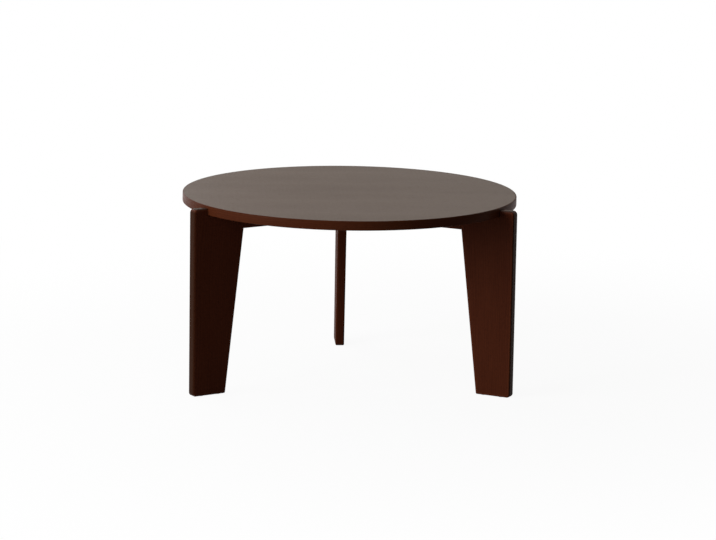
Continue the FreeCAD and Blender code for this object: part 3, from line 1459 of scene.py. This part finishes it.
    def _glide(self, glide: Disc) -> Shape:
        """One glide, with a sunk bore for its nail.

        Args:
            glide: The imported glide.

        Returns:
            Its shape.
        """
        centre, rim, bore = glide.foot(self.placing), glide.half.x, self.nail_head * self.nail_shank
        sink, step = self.nail_head + self.nail_room, self.nail_sink + self.nail_head_height
        outline = [(bore, glide.high), (rim, glide.high), (rim, 0.0), (sink, 0.0), (sink, step),
                   (bore, step)]
        shape = turned(outline, centre, steps=64, ring=True)
        ease_circles(shape, centre, [(rim, 0.0)], self.nail_sink, steps=4)
        ease_circles(shape, centre, [(sink, 0.0)], self.nail_room / 2, steps=2)
        return shape

    def _nail(self, nail: Disc) -> Shape:
        """One nail, with a flat head and a point.

        Args:
            nail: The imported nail.

        Returns:
            Its shape.
        """
        head, shank = self.nail_head, self.nail_head * self.nail_shank
        low, top = self.nail_sink, self.nail_sink + self.nail_head_height
        inward, upward = self.nail_bevel
        neck, point = self.nail_neck * shank, self.nail_point * shank
        outline = [(0.0, low), (head - inward, low), (head, low + upward), (head, top),
                   (shank + neck, top), (shank, top + neck), (shank, nail.high - point),
                   (0.0, nail.high)]
        return turned(outline, nail.foot(self.placing), steps=32)

    def build(self) -> None:
        """Make and finish the pieces of this arm."""
        title = self.title
        reach, crest = self._corners()["horn"]
        leg_wood = self._wood("leg", Grain.UPRIGHT, self.leg_pith, edge_places=(crest, reach))
        rail_wood = self._wood("rail", Grain.OUTWARD, self.rail_pith)
        felt = Felt(f"{title}_felt", colour=(0.03, 0.02, 0.015))
        nylon = MouldedNylon(f"{title}_glide_nylon", colour=(0.06, 0.03, 0.02), scuff=(0.14, 0.1, 0.08))
        zinc = PlatedSteel(f"{title}_zinc", bright=(0.62, 0.61, 0.58), dull=(0.33, 0.32, 0.3))
        beech = StainedWood(
            name=f"{title}_dowel_beech",
            pale=(0.56, 0.38, 0.2),
            deep=(0.38, 0.23, 0.11),
            pore=(0.24, 0.13, 0.06),
            grain=Grain.OUTWARD,
            placing=self.placing,
            roughness=0.6,
            gloss=0.3,
        )
        dress(f"{title}_rail_dowels", beech)
        pieces = {
            "plank_leg": (self.leg(), leg_wood, "leg_wood", "leg"),
            "lapped_rail": (self.rail(), rail_wood, "rail_wood", "rail"),
            "felt_pads": (joined(map(self._pad, self.pads)), felt, "felt", "top_pads"),
            "glides": (joined(map(self._glide, self.glides)), nylon, "glide_nylon", "foot_glides"),
            "nails": (joined(map(self._nail, self.nails)), zinc, "nail_steel", "glide_nails"),
        }
        for name, (shape, finish, slot, node_name) in pieces.items():
            node_name = f"{title}_{node_name}"
            stand_in(f"{title}_{name}", shape, finish, self.arm.body, node_name)


@dataclass
class Hub:
    """The bolt, axle, washers and stop plate where the rails meet.

    Attributes:
        sizes: The table's shared sizes.
        steps: Number of steps round a turned piece.
        key_size: Width of the hexagonal key sockets.
        key_depth: Depth of the key sockets.
        head_rounding: Rounding of the bolt's head and of the nut's flange.
        head_share: Share of a head's radius past which a point belongs to the head.
        burr: Rounding of the other turned edges.
        shank_point: Bevel at the end of the bolt.
        thread_room: Room between the bolt's shank and the nut's bore.
        pin_rounding: Rounding of a pin's upper end.
        rivet_dome: How far a pin's riveted end bulges.
        rivet_bend: Where the bulge bends, as shares of the pin's radius and of the bulge.
        plate_rounding: Rounding of the plate's edges.
        screw_rounding: Rounding of a screw's edges.
    """

    sizes: TableSizes
    steps: int = 72
    key_size: float = 0.004
    key_depth: float = 0.0014
    head_rounding: float = 0.0005
    head_share: float = 0.9
    burr: float = 0.00015
    shank_point: float = 0.0006
    thread_room: float = 0.00005
    pin_rounding: float = 0.0008
    rivet_dome: float = 0.0003
    rivet_bend: Pair = (0.6, 0.7)
    plate_rounding: float = 0.0002
    screw_rounding: float = 0.00012

    def _with_key_socket(self, shape: Shape, height: float) -> Shape:
        """Cut a key socket into the end of a turned piece.

        Args:
            shape: The piece. It is freed here.
            height: Height of that end.

        Returns:
            The piece with its socket.
        """
        placing = Matrix.Translation(self.sizes.hub + Vector((0.0, 0.0, height)))
        corner = self.key_size / math.sqrt(3.0)
        return carve(shape, [rod(corner, 2.0 * self.key_depth, sides=6, placing=placing)])

    def bolt(self) -> Shape:
        """The low-headed bolt.

        Returns:
            The bolt's mesh.
        """
        points = packed_points("hub_bolt", Matrix.Translation(self.sizes.hub))
        low, high = corners(points)
        top, tip = high.z, low.z
        head = max(point.xy.length for point in points)
        step = min(point.z for point in points if point.xy.length > self.head_share * head)
        shank = max(point.xy.length for point in points if point.z - tip < self.burr) - self.thread_room
        outline = [(0.0, top), (head / 2, top), (head, top), (head, step), (shank, step),
                   (shank, tip + self.shank_point), (shank - self.shank_point, tip), (0.0, tip)]
        shape = turned(outline, self.sizes.hub, self.steps)
        ease_circles(shape, self.sizes.hub, [(head, top)], self.head_rounding, steps=5)
        ease_circles(shape, self.sizes.hub, [(head, step)], self.burr, steps=2)
        return self._with_key_socket(shape, top)

    def sleeve_nut(self) -> Shape:
        """The sleeve nut, whose barrel is the axle of the three laps.

        Returns:
            The nut's mesh.
        """
        points = packed_points("hub_sleeve_nut", Matrix.Translation(self.sizes.hub))
        low, high = (corner.z for corner in corners(points))
        flange = max(point.xy.length for point in points)
        step = max(point.z for point in points if point.xy.length > self.head_share * flange)
        upper_end = [point.xy.length for point in points if high - point.z < self.burr]
        barrel, bore = max(upper_end), min(upper_end)
        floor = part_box("hub_bolt")[0].z
        outline = [(0.0, low), (flange / 2, low), (flange, low), (flange, step), (barrel, step),
                   (barrel, high), (bore, high), (bore, floor), (0.0, floor)]
        shape = turned(outline, self.sizes.hub, self.steps)
        ease_circles(shape, self.sizes.hub, [(flange, low)], self.head_rounding, steps=5)
        ease_circles(shape, self.sizes.hub, [(flange, step)], self.burr, steps=2)
        ease_circles(shape, self.sizes.hub, [(barrel, high)], self.burr, steps=2)
        return self._with_key_socket(shape, low)

    def _pin(self, pin: Disc) -> Shape:
        """One stop pin, riveted at its lower end.

        Args:
            pin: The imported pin.

        Returns:
            Its shape.
        """
        centre, rim = pin.foot(Matrix.Identity(4)), pin.half.x
        outward, downward = self.rivet_bend
        outline = [(0.0, pin.low - self.rivet_dome),
                   (outward * rim, pin.low - downward * self.rivet_dome),
                   (rim, pin.low), (rim, pin.high), (rim / 2, pin.high), (0.0, pin.high)]
        shape = turned(outline, centre)
        ease_circles(shape, centre, [(rim, pin.high)], self.pin_rounding, steps=5)
        return shape

    def build(self) -> None:
        """Make and finish the pieces of the hub."""
        zinc = PlatedSteel("yellow_zinc", bright=(0.62, 0.5, 0.3), dull=(0.36, 0.29, 0.19))
        black = PlatedSteel(
            "blackened_steel", bright=(0.1, 0.095, 0.09), dull=(0.2, 0.18, 0.16), roughness=0.4
        )
        nylon = MouldedNylon("natural_nylon", colour=(0.7, 0.68, 0.62), scuff=(0.5, 0.47, 0.4))
        paint = PowderCoat(
            "black_powder_coat", colour=(0.02, 0.018, 0.016), dust=(0.042, 0.0382, 0.0344)
        )
        pins = joined(map(self._pin, Disc.read("stop_pins", Matrix.Identity(4))))
        washers = softened("hub_washers", self.burr)
        plate = softened("stop_plate", self.plate_rounding)
        screws = softened("plate_screws", self.screw_rounding)
        pieces = {
            "bolt": (self.bolt(), zinc, "hub_steel", "hub_bolt"),
            "sleeve_nut": (self.sleeve_nut(), zinc, "hub_steel", "hub_sleeve_nut"),
            "riveted_pins": (pins, zinc, "hub_steel", "stop_pins"),
            "lap_washers": (washers, nylon, "washer_nylon", "hub_washers"),
            "plate": (plate, paint, "plate_paint", "stop_plate"),
            "countersunk_screws": (screws, black, "screw_steel", "plate_screws"),
        }
        for name, (shape, finish, slot, node_name) in pieces.items():
            stand_in(name, shape, finish, "back_frame", node_name)


@dataclass(frozen=True)
class SoftLamp:
    """Square soft lamp that is turned to the table.

    Attributes:
        name: Name of the lamp.
        size: Width and height.
        distance: From the lamp to the middle of the table.
        angle: Its direction in the plan, from +X.
        elevation: Its height as an angle.
        level: Its light on a surface that faces it, where white would be 1.
    """

    name: str
    size: float
    distance: float
    angle: float
    elevation: float
    level: float

    def hang(self, middle: Vector) -> None:
        """Hang the lamp.

        Args:
            middle: The point that it faces.
        """
        lamp = bpy.data.lights.new(self.name, "AREA")
        lamp.shape = "SQUARE"
        lamp.size = self.size
        lamp.energy = self.level * math.pi ** 2 * self.distance ** 2
        turn, rise = math.radians(self.angle), math.radians(self.elevation)
        towards = Vector((math.cos(turn) * math.cos(rise), math.sin(turn) * math.cos(rise), math.sin(rise)))
        holder = placed(self.name, lamp)
        holder.location = middle + towards * self.distance
        holder.rotation_euler = (-towards).to_track_quat("-Z", "Y").to_euler()
        holder.visible_camera = False


@dataclass
class Studio:
    """Pale floor, soft light and the camera of the photograph.

    Attributes:
        sizes: The table's shared sizes.
        camera_distance: From the hub's axis to the camera, along the floor.
        camera_height: Height of the camera.
        camera_swing: How far the camera stands round the table from the front.
        camera_roll: How far it is rolled.
        camera_lens: Focal length in millimetres, on a sensor 36 mm wide.
        aim_aside: Sideways distance of the point it looks at from the hub's axis.
        aim_height: Height of that point.
        floor_radius: Radius of the floor.
        floor_steps: Number of steps round its edge.
        floor_white: Grey of the floor as a camera sees it, where it doesn't glow.
        floor_glow: Share of the floor's white that is its own near the table, as a camera sees it.
        glow_reach: Distances from the hub between which that share rises to all of it.
        floor_tone: Grey of the floor that lights the table.
        ambient: Light of the world on surfaces, where white would be 1.
        ambient_tint: Its colour.
        mirrored_tint: White that the surroundings show in reflections.
        lamps: The soft lamps.
    """

    sizes: TableSizes
    camera_distance: float = 5.6897
    camera_height: float = 1.2986
    camera_swing: float = 3.100
    camera_roll: float = 0.951
    camera_lens: float = 161.29
    aim_aside: float = 0.01733
    aim_height: float = 0.19757
    floor_radius: float = 40.0
    floor_steps: int = 96
    floor_white: float = 0.92
    floor_glow: float = 0.94
    glow_reach: Pair = (0.45, 1.5)
    floor_tone: float = 0.3
    ambient: float = 0.075
    ambient_tint: Colour = (1.0, 0.99, 0.97)
    mirrored_tint: Colour = (1.0, 1.005, 0.955)
    lamps: tuple[SoftLamp, ...] = (
        SoftLamp("window", size=1.5, distance=2.6, angle=209.0, elevation=17.0, level=0.85),
        SoftLamp("ceiling", size=2.2, distance=2.4, angle=150.0, elevation=58.0, level=0.32),
        SoftLamp("side_wall", size=0.9, distance=1.5, angle=122.0, elevation=13.0, level=0.21),
    )

    def _seen_directly(self, tree: ShaderTree) -> Value:
        """Mask of the rays that show a thing, beside those that only light it.

        Args:
            tree: The tree that uses the mask.

        Returns:
            A mask that is 1 for rays from the camera, a reflection or a clear body.
        """
        path = tree.add("LightPath")
        direct = tree.out(path, "Is Camera Ray") | tree.out(path, "Is Glossy Ray")
        return direct | tree.out(path, "Is Transmission Ray")

    def floor(self) -> None:
        """Make the floor, which is clear from below."""
        shape = bmesh.new()
        bmesh.ops.create_circle(shape, cap_ends=True, segments=self.floor_steps, radius=self.floor_radius)
        material = bpy.data.materials.new("floor_paper")
        tree = ShaderTree(material)
        seen = self._seen_directly(tree)
        reach = tree.out(tree.add("VectorMath", {"operation": "LENGTH"}, {0: tree.place()}), "Value")
        glow_share = self.floor_glow + (1.0 - self.floor_glow) * tree.smooth(reach, *self.glow_reach)
        pale = tree.add("BsdfDiffuse", inputs={"Color": toned(WHITE, self.floor_white)})
        grey = tree.add("BsdfDiffuse", inputs={"Color": toned(WHITE, self.floor_tone)})
        glow = tree.add("Emission", inputs={"Color": WHITE, "Strength": 1.0})
        both = tree.mix(seen, grey, tree.mix(glow_share, pale, glow))
        below = tree.out(tree.add("NewGeometry"), "Backfacing")
        tree.close(tree.mix(below, both, tree.add("BsdfTransparent", inputs={"Color": WHITE})))
        mesh = as_mesh("floor", shape)
        mesh.materials.append(material)
        piece = placed("floor", mesh)

    def world(self) -> None:
        """Make the white surroundings."""
        world = bpy.data.worlds.new("studio")
        bpy.context.scene.world = world
        tree = ShaderTree(world)
        mirrored = tree.out(tree.add("LightPath"), "Is Glossy Ray")
        tint = tree.blend(mirrored, WHITE, self.mirrored_tint)
        white = tree.add("Background", inputs={"Color": tint, "Strength": 1.0})
        soft = tree.add("Background", inputs={"Color": self.ambient_tint, "Strength": self.ambient})
        tree.close(tree.mix(self._seen_directly(tree), soft, white), "OutputWorld")

    def camera(self) -> None:
        """Set up the camera."""
        swing = Matrix.Rotation(-math.radians(self.camera_swing), 3, "Z")
        place = self.sizes.hub + swing @ Vector((0.0, -self.camera_distance, self.camera_height))
        aim = self.sizes.hub + swing @ Vector((self.aim_aside, 0.0, self.aim_height))
        data = bpy.data.cameras.new("camera")
        data.lens = self.camera_lens
        data.clip_end = 2.0 * self.floor_radius
        holder = placed("camera", data)
        roll = Quaternion((0.0, 0.0, 1.0), math.radians(self.camera_roll))
        holder.rotation_mode = "QUATERNION"
        holder.location = place
        holder.rotation_quaternion = (aim - place).to_track_quat("-Z", "Y") @ roll
        bpy.context.scene.camera = holder

    def build(self) -> None:
        """Set up the whole studio."""
        self.camera()
        self.floor()
        self.world()
        for lamp in self.lamps:
            lamp.hang(self.sizes.hub + Vector((0.0, 0.0, self.aim_height)))
        bpy.context.scene.view_settings.view_transform = "Standard"
        log.info("the studio is set up")


def main() -> None:
    """Build the looks of the whole table."""
    logging.basicConfig(level=logging.INFO, format="%(message)s")
    sizes = TableSizes.read()
    Studio(sizes).build()
    Tabletop(sizes).build()
    # The back arm's tone of 0.7 darkens its leg and rail as painted shade, for lying at the back under the
    # top.
    LegFrame(
        sizes, Arm.BACK, tone=0.7, leg_pith=(-0.2, 0.05), rail_pith=(-0.27, 0.06), gloss=0.003, rubbed=0.05
    ).build()
    LegFrame(sizes, Arm.LEFT, tone=0.93, leg_pith=(-0.4, 0.06), rail_pith=(-0.35, 0.04)).build()
    LegFrame(sizes, Arm.RIGHT, tone=0.95, leg_pith=(-0.18, -0.055), rail_pith=(-0.29, -0.05)).build()
    Hub(sizes).build()


if __name__ == "__main__":
    main()
